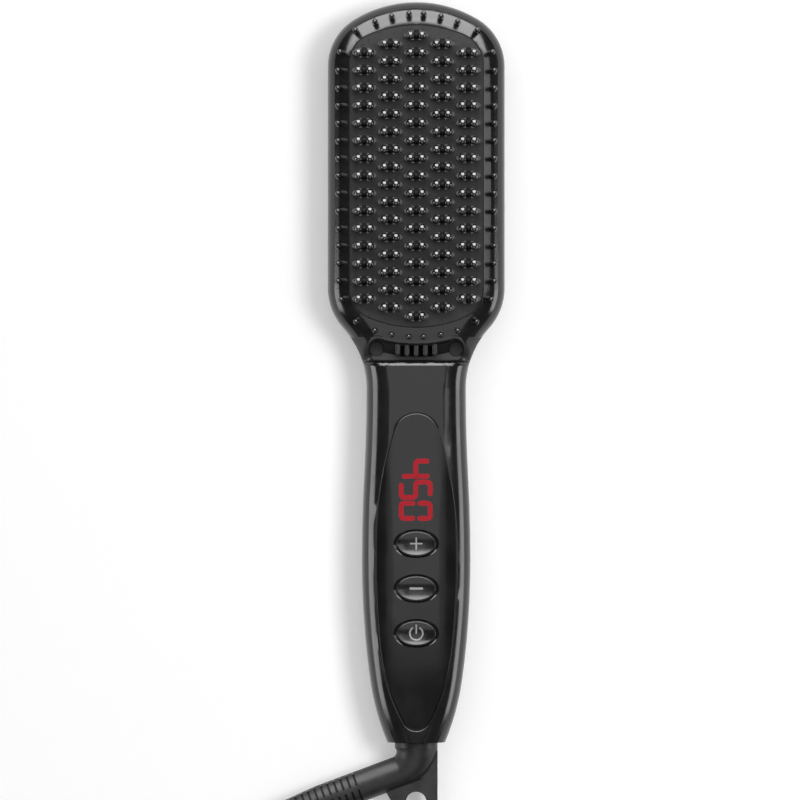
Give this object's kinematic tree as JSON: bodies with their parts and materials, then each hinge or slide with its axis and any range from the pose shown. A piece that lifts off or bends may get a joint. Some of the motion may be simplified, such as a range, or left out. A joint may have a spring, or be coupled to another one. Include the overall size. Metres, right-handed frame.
{
  "type": "heated hair straightening brush",
  "caption": "Heated hair straightening brush with a toothed plate, guard pins, a readout, press buttons and a swivelling mains cord.",
  "frame": {"origin": "under the middle of the housing's length and width, at the level of its flat back", "axes": "+Z out of the toothed face, +Y along the handle towards the head, +X across, to the right when the teeth face the viewer and the head is up"},
  "size_m": [0.1292, 0.4071, 0.0353],
  "materials": {
    "gloss_shell": "high gloss moulded black",
    "plate_coating": "satin dark ceramic coating on cast aluminium",
    "cap_plastic": "semi-gloss heat-resistant nylon",
    "panel_gloss": "smoked high gloss inlay",
    "display": "LED readout in black case",
    "key_gloss": "gloss key",
    "switch_plastic": "matte switch case",
    "board_green": "circuit board with solder mask",
    "component_dark": "moulded components",
    "ceramic_white": "sintered ceramic",
    "mica": "mica sheet",
    "steel": "plated steel",
    "shield_metal": "aluminium sheet",
    "wire_red": "silicone insulated wire",
    "sleeve_plastic": "natural acetal",
    "boot_rubber": "soft moulded black",
    "cord_rubber": "matte black cord jacket",
    "blade_metal": "plated brass"
  },
  "bodies": {
    "housing": {"back_shell": "gloss_shell", "front_shell": "gloss_shell", "heating_plate": "plate_coating", "tooth_caps": "cap_plastic", "ceramic_heaters": "ceramic_white", "insulation_sheet": "mica", "heater_clamp": "steel", "clamp_screws": "steel", "thermistor": "component_dark", "thermal_fuse": "component_dark", "heat_shield": "shield_metal", "control_panel": "panel_gloss", "display_module": "display", "tact_switches": "switch_plastic", "control_board": "board_green", "board_screws": "steel", "power_board": "board_green", "power_components": "component_dark", "ion_generator": "component_dark", "ion_emitter": "steel", "heater_leads": "wire_red", "mains_leads": "wire_red", "case_screws": "steel", "swivel_sleeve": "sleeve_plastic"},
    "plus_key": {"plus_button": "key_gloss", "plus_plunger": "switch_plastic"},
    "minus_key": {"minus_button": "key_gloss", "minus_plunger": "switch_plastic"},
    "power_key": {"power_button": "key_gloss", "power_plunger": "switch_plastic"},
    "cord_end": {"cord_boot": "boot_rubber", "retaining_clip": "steel", "cord": "cord_rubber", "cord_coil": "cord_rubber", "cord_tail": "cord_rubber", "plug_body": "boot_rubber", "plug_blades": "blade_metal"}
  },
  "joints": [
    {"name": "plus_press", "type": "slide", "parent": "housing", "child": "plus_key", "axis": [0, 0, -1], "range_m": [0, 0.0006], "stiffness_N_per_m": 1500},
    {"name": "minus_press", "type": "slide", "parent": "housing", "child": "minus_key", "axis": [0, 0, -1], "range_m": [0, 0.0006], "stiffness_N_per_m": 1500},
    {"name": "power_press", "type": "slide", "parent": "housing", "child": "power_key", "axis": [0, 0, -1], "range_m": [0, 0.0006], "stiffness_N_per_m": 1500},
    {"name": "cord_swivel", "type": "hinge", "parent": "housing", "child": "cord_end", "pos_m": [0, -0.1368, 0.013], "axis": [0, 1, 0], "continuous": true}
  ]
}
